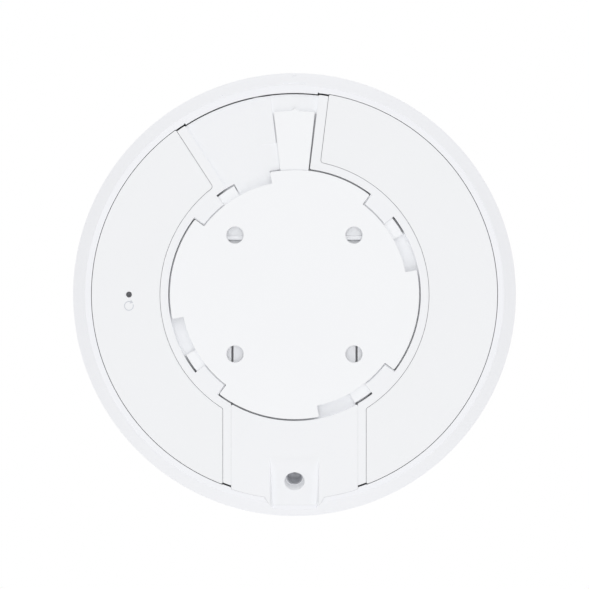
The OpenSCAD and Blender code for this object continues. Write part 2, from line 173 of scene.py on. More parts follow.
# Cable cover, outlet and reset hole
COVER_X = 22.4
COVER_GAP = 0.02
COVER_T = 1.6
COVER_R = 72.3
LIP_X = 10.6
LIP_Y = lid_low.y
CHANNEL_X = 8.5
CHANNEL_DRAFT = 0.12      # how far each channel wall leans in per unit of depth
RAMP_Y = -57.2
RAMP_TILT = 25
OUTLET_Y = -66.3
OUTLET_R = 3.55
OUTLET_DEPTH = 3
PASSAGE_R = 2.95
SHELF_X = 21.6
Z_OUTLET = Z_RIM + (OUTLET_Y - RAMP_Y) * math.tan(math.radians(RAMP_TILT))
PINHOLE_X = -58.5
PINHOLE_R = 1.05
RELEASE_R = 0.8
RELEASE_TILT = 38
RELEASE_Y = 61.4


# ---------------------------------------------------------------- outlines

def polar(radius, angle):
    return Vector((radius * math.cos(math.radians(angle)), radius * math.sin(math.radians(angle))))


def arc(radius, start, end):
    """Points along an arc about the origin, both ends included."""
    count = max(2, math.ceil(abs(end - start) / ARC_STEP))
    return [polar(radius, start + (end - start) * k / count) for k in range(count + 1)]


def line(start, end):
    return [Vector(start), Vector(end)]


def shortened(run, length):
    """The run without its first stretch of that length."""
    run = list(run)
    while len(run) > 2 and (run[1] - run[0]).length <= length:
        length -= (run[1] - run[0]).length
        run.pop(0)
    run[0] = run[0].lerp(run[1], length / (run[1] - run[0]).length)
    return run


def trimmed(run, head, tail):
    return shortened(shortened(run, head)[::-1], tail)[::-1]


def bezier(p, count):
    """Points along a cubic curve, both ends included."""
    points = []
    for k in range(count + 1):
        t = k / count
        u = 1 - t
        points.append(p[0] * u ** 3 + p[1] * 3 * u * u * t + p[2] * 3 * u * t * t + p[3] * t ** 3)
    return points


def joined(runs, radii, steps=6):
    """Closed outline along runs that end where the next one starts, with that radius after each run."""
    total = len(runs)
    cuts, turns = [], []
    for i, radius in enumerate(radii):
        after = runs[(i + 1) % total]
        u = (runs[i][-1] - runs[i][-2]).normalized()
        v = (after[1] - after[0]).normalized()
        turn = math.acos(max(-1.0, min(1.0, u.dot(v))))
        turns.append(turn)
        cuts.append(radius * math.tan(turn / 2))
    bodies = [trimmed(run, cuts[i - 1], cuts[i]) for i, run in enumerate(runs)]
    points = []
    for i, body in enumerate(bodies):
        points += body
        if cuts[i] > 0:
            corner, begin, end = runs[i][-1], body[-1], bodies[(i + 1) % total][0]
            pull = 4 / 3 * math.tan(turns[i] / 4) / math.tan(turns[i] / 2)
            curve = bezier([begin, begin.lerp(corner, pull), end.lerp(corner, pull), end], steps)
            points += curve[1:-1]
    return [p for i, p in enumerate(points) if (p - points[i - 1]).length > 1e-5]


def cornered(corners, steps=4):
    """Closed outline through (x, y, radius) corners."""
    points = [Vector(c[:2]) for c in corners]
    runs = [[points[i], points[(i + 1) % len(points)]] for i in range(len(points))]
    radii = [corners[(i + 1) % len(corners)][2] for i in range(len(corners))]
    return joined(runs, radii, steps)


def area(outline):
    return sum(p.x * q.y - q.x * p.y for p, q in zip(outline, outline[1:] + outline[:1])) / 2


def inset(outline, depth):
    """An anticlockwise outline pulled in by depth on every side."""
    result = []
    for i, p in enumerate(outline):
        u = (p - outline[i - 1]).normalized()
        v = (outline[(i + 1) % len(outline)] - p).normalized()
        m, n = Vector((-u.y, u.x)), Vector((-v.y, v.x))
        result.append(p + (m + n) * (depth / (1 + m.dot(n))))
    return result


# ---------------------------------------------------------------- solids, in millimetres

def solid(verts, faces):
    """A closed mesh object with its faces turned outwards."""
    mesh = bpy.data.meshes.new("solid")
    mesh.from_pydata([tuple(v) for v in verts], [], faces)
    shape = bmesh.new()
    shape.from_mesh(mesh)
    bmesh.ops.recalc_face_normals(shape, faces=shape.faces)
    shape.to_mesh(mesh)
    shape.free()
    made = bpy.data.objects.new("solid", mesh)
    bpy.context.scene.collection.objects.link(made)
    return made


def lathe(section, start=0.0, end=360.0):
    """A closed half section of (radius, z) points turned about Z, all the way or between two angles."""
    count = max(2, math.ceil((end - start) / ARC_STEP - 1e-6))
    closed = end - start > 359.9
    rings = count if closed else count + 1
    verts, rows = [], []
    for radius, z in section:
        if abs(radius) < 1e-6:
            rows.append([len(verts)] * rings)
            verts.append((0, 0, z))
            continue
        rows.append(list(range(len(verts), len(verts) + rings)))
        for k in range(rings):
            p = polar(radius, start + (end - start) * k / count)
            verts.append((p.x, p.y, z))
    faces = []
    for i, row in enumerate(rows):
        following = rows[(i + 1) % len(rows)]
        for k in range(count):
            after = (k + 1) % rings
            corner = list(dict.fromkeys([row[k], row[after], following[after], following[k]]))
            if len(corner) > 2:
                faces.append(corner)
    if not closed:
        faces.append([row[0] for row in rows])
        faces.append([row[-1] for row in reversed(rows)])
    return solid(verts, faces)


def ring(r_in, r_out, z0, z1, start=0.0, end=360.0, top=0.0, bottom=0.0):
    """A ring or a sector of one, with rounded top and bottom edges."""
    section = cornered([(r_in, z0, bottom), (r_out, z0, bottom), (r_out, z1, top), (r_in, z1, top)],
                       ROUND_STEPS)
    return lathe(section, start, end)


def disc(radius, z0, z1):
    return lathe([(0, z0), (radius, z0), (radius, z1), (0, z1)])


def slab(outline, z0, z1, top=0.0, bottom=0.0):
    """An outline drawn up from z0 to z1, with its top and bottom edges rounded."""
    if area(outline) < 0:
        outline = outline[::-1]
    levels = []
    for k in range(ROUND_STEPS + 1):
        turn = math.pi / 2 * k / ROUND_STEPS
        levels.append((bottom * (1 - math.sin(turn)), z0 + bottom * (1 - math.cos(turn))))
    for k in range(ROUND_STEPS + 1):
        turn = math.pi / 2 * k / ROUND_STEPS
        levels.append((top * (1 - math.cos(turn)), z1 - top * (1 - math.sin(turn))))
    levels = [level for i, level in enumerate(levels) if i == 0 or level != levels[i - 1]]
    count = len(outline)
    verts, faces = [], []
    for depth, z in levels:
        verts += [(p.x, p.y, z) for p in inset(outline, depth)]
    for row in range(len(levels) - 1):
        for k in range(count):
            a, b = row * count + k, row * count + (k + 1) % count
            faces.append([a, b, b + count, a + count])
    faces.append(list(range(count))[::-1])
    faces.append(list(range(len(verts) - count, len(verts))))
    return solid(verts, faces)


def block(x0, x1, y0, y1, z0, z1, corner=0.0, top=0.0):
    return slab(cornered([(x0, y0, corner), (x1, y0, corner), (x1, y1, corner), (x0, y1, corner)]),
                z0, z1, top)


def post(x, y, radius, z0, z1):
    return placed(disc(radius, z0, z1), Matrix.Translation((x, y, 0)))


def placed(shape, matrix):
    shape.data.transform(matrix)
    return shape


def turned(shape, angle):
    return placed(shape, Matrix.Rotation(math.radians(angle), 4, "Z"))


def combined(base, operation, others):
    """base after joining, cutting or intersecting it with each other solid in turn."""
    for other in others:
        step = base.modifiers.new("step", "BOOLEAN")
        step.solver = "MANIFOLD"
        step.operation = operation
        step.object = other
    bpy.context.view_layer.update()
    seen = base.evaluated_get(bpy.context.evaluated_depsgraph_get())
    mesh = bpy.data.meshes.new_from_object(seen)
    base.modifiers.clear()
    base.data = mesh
    for other in others:
        bpy.data.objects.remove(other)
    return base


def union(*parts):
    return combined(parts[0], "UNION", parts[1:])


def cut(base, *tools):
    return combined(base, "DIFFERENCE", tools)


def common(base, *others):
    return combined(base, "INTERSECT", others)


def quarters(make):
    """Four copies of a solid, a quarter turn apart."""
    return [turned(make(), 90 * q) for q in range(4)]


def above_ramp(half_w, depth, y_end):
    """Everything above the tilted plane of the channel floor, sunk by depth."""
    tilted = placed(block(-half_w, half_w, -60, 0, -depth, 60), Matrix.Translation((0, RAMP_Y, Z_RIM))
                    @ Matrix.Rotation(math.radians(RAMP_TILT), 4, "X"))
    return common(tilted, block(-half_w, half_w, y_end, 0, -40, 5))


def channel():
    """Everything above the channel floor, between side walls that lean in towards the floor."""
    deep, high = 40, 5
    half = [(CHANNEL_X + 0.2 - CHANNEL_DRAFT * (Z_RIM - z), z) for z in (-deep, high)]
    section = [(-half[0][0], -deep), (half[0][0], -deep), (half[1][0], high), (-half[1][0], high)]
    verts = [(x, y, z) for y in (-90, 0) for x, z in section]
    faces = [[0, 1, 2, 3], [4, 5, 6, 7], [0, 1, 5, 4], [1, 2, 6, 5], [2, 3, 7, 6], [3, 0, 4, 7]]
    return common(above_ramp(CHANNEL_X + 2, 0, -90), solid(verts, faces))


def outlet_lathe(section):
    """A lathe square to the channel floor, about the cable outlet's axis; z is 0 at the floor."""
    return placed(lathe(section), Matrix.Translation((0, OUTLET_Y, Z_OUTLET))
                  @ Matrix.Rotation(math.radians(RAMP_TILT), 4, "X"))


def outlet_tube(radius, depth, length):
    return outlet_lathe([(0, -depth - length), (radius, -depth - length), (radius, -depth), (0, -depth)])


def release_pin():
    tilt = Matrix.Rotation(math.radians(90 - RELEASE_TILT + 180), 4, "X")
    return placed(disc(RELEASE_R, 0, 30), Matrix.Translation((0, RELEASE_Y, Z_TONGUE - TONGUE_T)) @ tilt)


# ---------------------------------------------------------------- materials

def linear(level):
    """Linear light of an 8-bit display level."""
    s = level / 255
    return s / 12.92 if s <= 0.04045 else ((s + 0.055) / 1.055) ** 2.4


def tone(red, green, blue):
    return (linear(red), linear(green), linear(blue), 1)


PAINTED_GAP_SHADE = tone(108, 110, 118)     # painted shade: the colour that white plastic is darkened to in a narrow gap
NEAR = 4                # how near a wall has to be to shelter a surface, for the painted gap shade and corner glow
PAINTED_CORNER_GLOW = 0.115            # painted glow: emission strength where a surface is wholly enclosed, in place of light the plastic passes on


class Shader:
    """A node material with object-space coordinates in millimetres."""

    def __init__(self, name):
        self.material = bpy.data.materials.new(name)
        self.material.use_nodes = True
        self.nodes = self.material.node_tree.nodes
        self.links = self.material.node_tree.links
        self.bsdf = self.nodes["Principled BSDF"]
        position = self.nodes.new("ShaderNodeTexCoord").outputs["Object"]
        self.place = self.scaled(position, (1 / MM, 1 / MM, 1 / MM))

    def add(self, kind, inputs=None, **settings):
        node = self.nodes.new(kind)
        for key, value in settings.items():
            setattr(node, key, value)
        for key, value in (inputs or {}).items():
            if isinstance(value, bpy.types.NodeSocket):
                self.links.new(value, node.inputs[key])
            else:
                node.inputs[key].default_value = value
        return node

    def scaled(self, vector, factors):
        return self.add("ShaderNodeVectorMath", {0: vector, 1: factors}, operation="MULTIPLY").outputs[0]

    def noise(self, scale, detail=2.0, stretch=None):
        place = self.place
        if stretch:
            place = self.scaled(place, stretch)
        inputs = {"Vector": place, "Scale": scale, "Detail": detail}
        return self.add("ShaderNodeTexNoise", inputs).outputs["Fac"]

    def ranged(self, value, low, high, start=0.0, end=1.0):
        return self.add("ShaderNodeMapRange", {0: value, 1: start, 2: end, 3: low, 4: high}).outputs[0]

    def product(self, first, second):
        return self.add("ShaderNodeMath", {0: first, 1: second}, operation="MULTIPLY").outputs[0]

    def mixed(self, factor, first, second, blend="MIX"):
        inputs = {0: factor, 6: first, 7: second}
        return self.add("ShaderNodeMix", inputs, data_type="RGBA", blend_type=blend).outputs[2]

    def bumped(self, height, distance, strength=1.0, normal=None):
        inputs = {"Height": height, "Distance": distance * MM, "Strength": strength}
        if normal:
            inputs["Normal"] = normal
        return self.add("ShaderNodeBump", inputs).outputs[0]

    def set(self, **inputs):
        for key, value in inputs.items():
            socket = self.bsdf.inputs[key.replace("_", " ").title().replace("Ior", "IOR")]
            if isinstance(value, bpy.types.NodeSocket):
                self.links.new(value, socket)
            else:
                socket.default_value = value
        return self.material


def plastic(name, colour, shade, rough=0.5, grain=3.2, grain_depth=0.012):
    """Moulded plastic: fine eroded grain, faint flow marks, painted shade in narrow gaps and a painted glow
    in enclosed corners.
    """
    s = Shader(name)
    flow = s.noise(0.035, 3, (1, 1, 2))
    speck = s.noise(2.1, 3)
    base = s.mixed(s.ranged(flow, 0.0, 1.0, 0.3, 0.7), colour, tuple(c * 0.992 for c in colour[:3]) + (1,))
    base = s.mixed(s.ranged(speck, 0, 0.35, 0.45, 0.75), base, tuple(c * 0.985 for c in colour[:3]) + (1,))
    open_sky = s.add("ShaderNodeAmbientOcclusion", {"Distance": NEAR * MM}, samples=12).outputs["AO"]
    facing = s.add("ShaderNodeSeparateXYZ", {0: s.add("ShaderNodeNewGeometry").outputs["Normal"]})
    turned_up = s.ranged(facing.outputs["Z"], 0.0, 1.0, -0.7, -0.3)
    # Painted shade: up-facing surfaces deep in narrow gaps are mixed towards the shade colour
    base = s.mixed(s.product(s.ranged(open_sky, 0.9, 0.0, 0.08, 0.24), turned_up), base, shade)
    # Painted glow: emission that lightens enclosed corners and recesses, in place of light passed through the
    # plastic
    painted_corner_glow = s.product(s.ranged(open_sky, PAINTED_CORNER_GLOW, 0.0, 0.3, 0.9), s.ranged(open_sky, 0, 1, 0.15, 0.36))
    fine = s.noise(grain, 2)
    rough_value = s.ranged(s.noise(0.6, 2), rough - 0.04, rough + 0.05, 0.3, 0.7)
    return s.set(base_color=base, roughness=rough_value, normal=s.bumped(fine, grain_depth),
                 ior=1.46, specular_ior_level=0.35, emission_color=base, emission_strength=painted_corner_glow)


def metal(name, colour, rough, brushed=(1, 1, 1), scratch=0.006):
    s = Shader(name)
    streak = s.noise(2.4, 4, brushed)
    stain = s.noise(0.12, 3)
    base = s.mixed(s.ranged(stain, 0, 1, 0.35, 0.65), colour, tuple(c * 0.86 for c in colour[:3]) + (1,))
    return s.set(base_color=base, metallic=1.0, roughness=s.ranged(streak, rough - 0.07, rough + 0.1),
                 normal=s.bumped(streak, scratch))


def soft(name, colour, rough, grain=1.6, depth=0.03, painted_glow=0.0):
    """Rubber, silicone or a cable jacket, with an optional painted glow (emission) in place of the light that
    it passes on.
    """
    s = Shader(name)
    mottle = s.noise(0.5, 3)
    base = s.mixed(s.ranged(mottle, 0, 1, 0.3, 0.7), colour, tuple(c * 0.82 for c in colour[:3]) + (1,))
    return s.set(base_color=base, roughness=s.ranged(mottle, rough - 0.06, rough + 0.06),
                 # Painted glow: emission of the base colour, in place of light passed through the material
                 normal=s.bumped(s.noise(grain, 3), depth), emission_color=base, emission_strength=painted_glow)


def laminate(name):
    """Circuit board: solder mask over copper tracks, with pads and vias."""
    s = Shader(name)
    tracks = s.add("ShaderNodeTexBrick", {"Vector": s.place, "Scale": 0.32, "Mortar Size": 0.05,
                                          "Mortar Smooth": 0.2, "Brick Width": 1.7,
                                          "Row Height": 0.24}).outputs["Fac"]
    cells = s.add("ShaderNodeTexVoronoi", {"Vector": s.place, "Scale": 0.42, "Randomness": 0.9})
    vias = s.ranged(cells.outputs["Distance"], 1, 0, 0.10, 0.16)
    mask = s.mixed(s.noise(0.2, 3), (0.012, 0.10, 0.05, 1), (0.02, 0.16, 0.08, 1))
    mask = s.mixed(tracks, mask, (0.03, 0.21, 0.10, 1))
    base = s.mixed(vias, mask, (0.72, 0.53, 0.22, 1))
    height = s.add("ShaderNodeMath", {0: tracks, 1: vias}, operation="ADD").outputs[0]
    return s.set(base_color=base, roughness=s.ranged(vias, 0.38, 0.25), metallic=vias,
                 normal=s.bumped(height, 0.03))


def diffuser(name):
    """Milky light guide with a faint cloud in it."""
    s = Shader(name)
    cloud = s.noise(0.35, 4)
    base = s.mixed(cloud, tone(238, 242, 247), tone(228, 235, 243))
    return s.set(base_color=base, roughness=s.ranged(cloud, 0.22, 0.34),
                 normal=s.bumped(s.noise(1.8, 2), 0.01), subsurface_weight=0.35, subsurface_scale=0.002,
                 emission_color=tone(225, 240, 255), emission_strength=0.05)


FINISH = {
    "bracket_plastic": plastic("bracket_plastic", tone(246, 247, 249), PAINTED_GAP_SHADE, 0.46),
    "cover_plastic": plastic("cover_plastic", tone(244, 245, 248.5), PAINTED_GAP_SHADE, 0.42, grain=4.0,
                             grain_depth=0.008),
    "frame_plastic": plastic("frame_plastic", tone(243, 244, 246.4), PAINTED_GAP_SHADE, 0.5),
    "panel_plastic": plastic("panel_plastic", tone(242.5, 243.5, 245.5), PAINTED_GAP_SHADE, 0.55, grain=2.6,
                             grain_depth=0.016),
    "diffuser": diffuser("diffuser"),
    "grommet_rubber": soft("grommet_rubber", (0.52, 0.53, 0.56, 1), 0.7, painted_glow=0.06),
    "cast_aluminium": metal("cast_aluminium", (0.72, 0.73, 0.74, 1), 0.46, scratch=0.03),
    "board_laminate": laminate("board_laminate"),
    "tinned_steel": metal("tinned_steel", (0.78, 0.78, 0.77, 1), 0.3, (1, 14, 1)),
    "black_plastic": soft("black_plastic", (0.018, 0.018, 0.02, 1), 0.45, 3.0, 0.012),
    "gold_plating": metal("gold_plating", (0.86, 0.62, 0.25, 1), 0.22),
    "thermal_silicone": soft("thermal_silicone", (0.28, 0.42, 0.60, 1), 0.8, 1.1, 0.06),
    "capacitor_cans": metal("capacitor_cans", (0.62, 0.64, 0.68, 1), 0.26, (8, 8, 1)),
    "antenna_copper": metal("antenna_copper", (0.80, 0.64, 0.36, 1), 0.34, (1, 9, 1)),
    "cable_jacket": soft("cable_jacket", (0.03, 0.03, 0.035, 1), 0.5),
    "led_lens": soft("led_lens", (0.80, 0.80, 0.62, 1), 0.25, 2.2, 0.01),
    "ribbon_film": soft("ribbon_film", (0.55, 0.24, 0.05, 1), 0.35, 0.9, 0.01),
    "plunger_plastic": soft("plunger_plastic", (0.62, 0.62, 0.65, 1), 0.5, 2.8, 0.012),
    "screw_steel": metal("screw_steel", (0.58, 0.58, 0.60, 1), 0.3, (1, 1, 10)),
}


def piece(shape, name, body, slot, *nodes, material=None):
    """A finished solid as a named piece: in metres, shaded, riding on its body, in place of CAD nodes."""
    shape.name = name
    shape.data.name = name
    shape.data.transform(Matrix.Scale(MM, 4))
    shape.data.materials.clear()
    shape.data.materials.append(material or FINISH[slot])
    shape.data.polygons.foreach_set("material_index", [0] * len(shape.data.polygons))
    shape.data.polygons.foreach_set("use_smooth", [True] * len(shape.data.polygons))
    shape.data.set_sharp_from_angle(angle=math.radians(SHARP_ANGLE))
    weighted = shape.modifiers.new("normals", "WEIGHTED_NORMAL")
    weighted.keep_sharp = True
    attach(shape, body)
    if nodes:
        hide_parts(*nodes)
    return shape


# ---------------------------------------------------------------- bracket

def plate_outline():
    """Disc with four bayonet notches."""
    runs, radii = [], []
    for q in range(4):
        start, end = NOTCH[0] + 90 * q, NOTCH[1] + 90 * q
        runs += [arc(NOTCH_R, start, end), line(polar(NOTCH_R, end), polar(PLATE_R, end)),
                 arc(PLATE_R, end, NOTCH[0] + 90 * (q + 1)),
                 line(polar(PLATE_R, NOTCH[0] + 90 * (q + 1)), polar(NOTCH_R, NOTCH[0] + 90 * (q + 1)))]
        radii += [0.3, 0.5, 0.5, 0.3]
    return joined(runs, radii)


def mounting_plate():
    plate = slab(plate_outline(), -PLATE_T, 0, EDGE, FINE_EDGE)
    skirt = ring(SKIRT_R - SKIRT_T, SKIRT_R, Z_EAR - EAR_T, -PLATE_T + 0.3, bottom=EDGE)
    ears = quarters(lambda: ring(SKIRT_R - SKIRT_T / 2, EAR_R, Z_EAR - EAR_T, Z_EAR, EAR[0], EAR[1],
                                 FINE_EDGE, FINE_EDGE))
    bosses, holes = [], []
    mouth = [(0, -10), (SCREW_HOLE_R, -10), (SCREW_HOLE_R, -EDGE), (SCREW_HOLE_R + 0.07, -0.07),
             (SCREW_HOLE_R + EDGE, 0), (SCREW_HOLE_R + EDGE, PAST), (0, PAST)]
    for x in (-SCREW_X, SCREW_X):
        for y in (-SCREW_X, SCREW_X):
            bosses.append(post(x, y, BOSS_R, -PLATE_T - BOSS_H, -PLATE_T + 0.3))
            holes.append(placed(lathe(mouth), Matrix.Translation((x, y, 0))))
    whole = cut(union(plate, skirt, *ears, *bosses), *holes)
    piece(whole, "bracket_plate", "ceiling_mount", "bracket_plastic", "mounting_plate")


def latch_tongue():
    end = PLATE_R + 0.02
    tip = (0, tongue_high.y)
    before, after = (off_ray(TONGUE_R, 90, x) for x in (-POINTER_X, POINTER_X))
    runs = [arc(end, TONGUE[1], TONGUE[0]),
            line(polar(end, TONGUE[0]), polar(TONGUE_R, TONGUE[0])),
            arc(TONGUE_R, TONGUE[0], before), line(polar(TONGUE_R, before), tip),
            line(tip, polar(TONGUE_R, after)), arc(TONGUE_R, after, TONGUE[1]),
            line(polar(TONGUE_R, TONGUE[1]), polar(end, TONGUE[1]))]
    outline = joined(runs, [0, 0.4, 0.15, 0.1, 0.15, 0.4, 0])
    tongue = slab(outline, Z_TONGUE - TONGUE_T, Z_TONGUE, EDGE, FINE_EDGE)
    piece(tongue, "spring_tongue", "latch", "bracket_plastic", "latch_tongue")


# ---------------------------------------------------------------- rear frame and panels

def off_ray(radius, angle, distance):
    """Angle at that radius of a line that runs beside a ray, distance to its left."""
    return angle + math.degrees(math.asin(distance / radius))


def off_centre(radius, x):
    """Angle below the X axis at which a circle crosses the line at x."""
    return math.degrees(math.acos(x / radius))


def low(side, radius, x):
    """Angle at which a circle crosses the line at x on that side, near the cable outlet."""
    return -off_centre(radius, x) if side > 0 else 180 + off_centre(radius, x)


def wing_outline(side):
    """Panel plan: side 1 is the right wing, -1 the left one."""
    ray, offset = (BAY[0], -STRIP_W) if side > 0 else (BAY[1], STRIP_W)
    top_out, top_in = off_ray(SEAM_R, ray, offset), off_ray(WING_R, ray, offset)
    low_out, low_in = low(side, SEAM_R, WING_X), low(side, WING_R, WING_X)
    runs = [arc(SEAM_R, low_out, top_out), line(polar(SEAM_R, top_out), polar(WING_R, top_in)),
            arc(WING_R, top_in, low_in), line(polar(WING_R, low_in), polar(SEAM_R, low_out))]
    outer, inner = WING_CORNERS
    return joined(runs, [outer, inner, inner, outer])


def strip_outline(side):
    """Plan of the raised strip that runs round a wing panel's inner edges."""
    w = STRIP_W - STRIP_GAP
    x_out = WING_X - STRIP_GAP
    r_out = WING_R - STRIP_GAP
    ray, offset = (BAY[0], -w) if side > 0 else (BAY[1], w)
    a_out, a_in = off_ray(FRAME_R, ray, offset), off_ray(r_out, ray, offset)
    runs = [arc(FRAME_R, a_out, ray), line(polar(FRAME_R, ray), polar(RIM_R, ray)),
            arc(RIM_R, ray, low(side, RIM_R, COVER_X)),
            line(polar(RIM_R, low(side, RIM_R, COVER_X)), polar(FRAME_R, low(side, FRAME_R, COVER_X))),
            arc(FRAME_R, low(side, FRAME_R, COVER_X), low(side, FRAME_R, x_out)),
            line(polar(FRAME_R, low(side, FRAME_R, x_out)), polar(r_out, low(side, r_out, x_out))),
            arc(r_out, low(side, r_out, x_out), a_in), line(polar(r_out, a_in), polar(FRAME_R, a_out))]
    corner = WING_CORNERS[1] + STRIP_GAP
    return joined(runs, [0.3, 0.5, 0.45, 0.1, 0.3, corner, corner, 0.3])


def tab_outline(radius=TAB_R, end=TAB[1]):
    """Plan of a bayonet tab, or of the lip round it."""
    runs = [arc(radius, end, TAB[0]), line(polar(radius, TAB[0]), polar(RIM_R + 1, TAB[0])),
            arc(RIM_R + 1, TAB[0], end), line(polar(RIM_R + 1, end), polar(radius, end))]
    return joined(runs, [0.4, 0, 0, 0.4])


def locking_ridge():
    """Ramp that lifts the tongue as the unit turns, with a steep face that holds it."""
    section = [(0, Z_BAY - 0.5), (RIDGE_W, Z_BAY - 0.5), (RIDGE_W, Z_BAY), (RIDGE_TOP_W + 0.3, Z_RIDGE),
               (0.15, Z_RIDGE), (0, Z_RIDGE - 0.15)]
    count = len(section)
    verts = [(r, y, z) for r in RIDGE_R for y, z in section]
    faces = [[k, (k + 1) % count, count + (k + 1) % count, count + k] for k in range(count)]
    faces += [list(range(count))[::-1], list(range(count, 2 * count))]
    return turned(solid(verts, faces), RIDGE_A)


def pocket_ramp():
    """Leads one bayonet pocket's floor up to the floor of the bay."""
    return lathe([(RAMP_R, Z_WELL - 0.5), (RIM_R + 0.5, Z_WELL - 0.5), (RIM_R + 0.5, Z_BAY), (RIM_R, Z_BAY),
                  (RAMP_R, Z_WELL)], NOTCH[0], RAMP_END)


def scribed_line():
    """Fine line across the floor of one bayonet pocket."""
    return turned(block(NOTCH_R, RIM_R, -0.09, 0.09, Z_WELL - 0.25, 0), SCRIBE_A)


def wing_pin_places(side):
    return [polar(r, a if side > 0 else 180 - a) for r, a in WING_PINS]


def rear_frame():
    x0, x1, y0, y1 = TRAY
    deck = lathe([(RIM_R, Z_DECK - DECK_T), (FRAME_R, Z_DECK - DECK_T), (FRAME_R, Z_LEDGE),
                  (FRAME_R - WALL, Z_LEDGE), (FRAME_R - WALL, Z_DECK), (WING_R + LEDGE, Z_DECK),
                  (WING_R + LEDGE, Z_LEDGE), (RIM_R, Z_LEDGE)])
    well = lathe([(0, Z_WELL - WALL), (RIM_R + WALL, Z_WELL - WALL), (RIM_R + WALL, Z_WELL + 0.6),
                  (RIM_R, Z_WELL + 0.6), (RIM_R - 0.18, Z_WELL + 0.18), (RIM_R - 0.6, Z_WELL), (0, Z_WELL)])
    bay_floor = ring(RIM_R, BAY_R, Z_DECK - DECK_T, Z_BAY, *BAY)
    bead = block(x0 - BEAD_W, x1 + BEAD_W, y0 - BEAD_W, y1 + BEAD_W, Z_WELL - 0.2, Z_WELL + BEAD_H,
                 1.2, EDGE)
    tray = block(x0 - WALL, x1 + WALL, y0 - WALL, y1 + WALL, Z_TRAY - WALL, Z_WELL - 0.1, 1.5)
    trough = common(block(-TROUGH_X - WALL, TROUGH_X + WALL, -90, y0, Z_TRAY - WALL, Z_DECK - 0.1,
                          0, FINE_EDGE), disc(FRAME_R, -30, 0))
    ledges = []
    for side in (-1, 1):
        near, far = side * TROUGH_X, side * (WING_X + LEDGE)
        ledges.append(common(block(min(near, far), max(near, far), -90, -30, Z_DECK - 0.2, Z_LEDGE),
                             ring(RIM_R, FRAME_R, -30, 0)))
    for ray, a, b in ((BAY[0], -STRIP_W - LEDGE, 0.0), (BAY[1], 0.0, STRIP_W + LEDGE)):
        ledges.append(common(turned(block(40, 80, a, b, Z_DECK - 0.2, Z_LEDGE), ray),
                             ring(RIM_R, FRAME_R, -30, 0)))
    strips = [slab(strip_outline(side), Z_LEDGE - 0.5, Z_RIM, SEAM_EDGE) for side in (-1, 1)]
    tabs = quarters(lambda: slab(tab_outline(), Z_RIM - TAB_T, Z_RIM, EDGE, FINE_EDGE))
    tabs += quarters(lambda: slab(tab_outline(TAB_LIP_R, TAB_LIP_END), Z_RIM - TAB_T, Z_RIM - TAB_LIP_DROP,
                                  FINE_EDGE))
    posts = [post(*polar(STANDOFF_R, a), 2.6, Z_BOARD, Z_DECK - DECK_T + 0.2) for a in STANDOFF_A]
    guide = post(PINHOLE_X, 0, 3.1, -12, Z_DECK)
    shell = union(deck, well, bay_floor, bead, tray, trough, *ledges, *strips, guide, *posts)
    bay = ring(RIM_R - PAST, FRAME_R + PAST, Z_BAY, PAST, *BAY)
    bay_end = ring(BAY_R, FRAME_R + PAST, Z_DECK - DECK_T - PAST, PAST, *BAY)
    inner_trough = common(block(-TROUGH_X, TROUGH_X, -90, y0 + PAST, Z_TRAY, PAST),
                          disc(FRAME_R - WALL, -30, 5))
    lid_seat = common(block(-COVER_X, COVER_X, -90, -30, Z_RIM - COVER_T, PAST),
                      ring(RIM_R - PAST, FRAME_R + PAST, -30, 5))
    lip_seat = common(block(-LIP_X - 0.4, LIP_X + 0.4, -90, -60, -30, 5),
                      above_ramp(20, COVER_T + 0.2, -90))
    jack_opening = block(-8.3, 8.3, 2.1, 18.7, -20, 0)
    holes = [post(*polar(STANDOFF_R, a), 1.3, Z_BOARD - PAST, Z_DECK - DECK_T - 2) for a in STANDOFF_A]
    holes += [post(*polar(POST_R, a), 1.4, -10, 0) for a in POST_A]
    holes += [post(*p, 1.6, Z_DECK - 5, Z_DECK + 5) for side in (-1, 1) for p in wing_pin_places(side)]
    holes.append(post(PINHOLE_X, 0, 1.65, -12 - PAST, 0))
    tray_hole = block(x0, x1, y0, STEP_Y, Z_TRAY, PAST, 0.8)
    tray_step = block(x0, x1, STEP_Y - 2, y1, Z_WELL - STEP_H, PAST, 0.8)
    shell = cut(shell, bay, bay_end, tray_hole, tray_step, scribed_line(), inner_trough, lid_seat, lip_seat,
                outlet_tube(5.5, -5, 16), jack_opening, release_pin(), *holes)
    shell = union(shell, locking_ridge(), pocket_ramp(), *tabs)
    piece(shell, "housing_frame", "access_point", "frame_plastic", "rear_frame")


def wing_panel(side):
    panel = slab(wing_outline(side), Z_LEDGE, Z_WING, SEAM_EDGE, FINE_EDGE)
    pins = [placed(lathe(cornered([(0, Z_DECK - 1.2, 0), (1.5, Z_DECK - 1.2, 0.3), (1.5, Z_LEDGE + 0.1, 0),
                                   (0, Z_LEDGE + 0.1, 0)])), Matrix.Translation((*p, 0)))
            for p in wing_pin_places(side)]
    panel = union(panel, *pins)
    if side < 0:
        mouth = [(0, -10), (PINHOLE_R, -10), (PINHOLE_R, Z_WING - 0.15), (PINHOLE_R + 0.15, Z_WING),
                 (PINHOLE_R + 0.15, PAST), (0, PAST)]
        panel = cut(panel, placed(lathe(mouth), Matrix.Translation((PINHOLE_X, 0, 0))))
    name = "right_wing" if side > 0 else "left_wing"
    piece(panel, name, "access_point", "panel_plastic", name + "_panel")


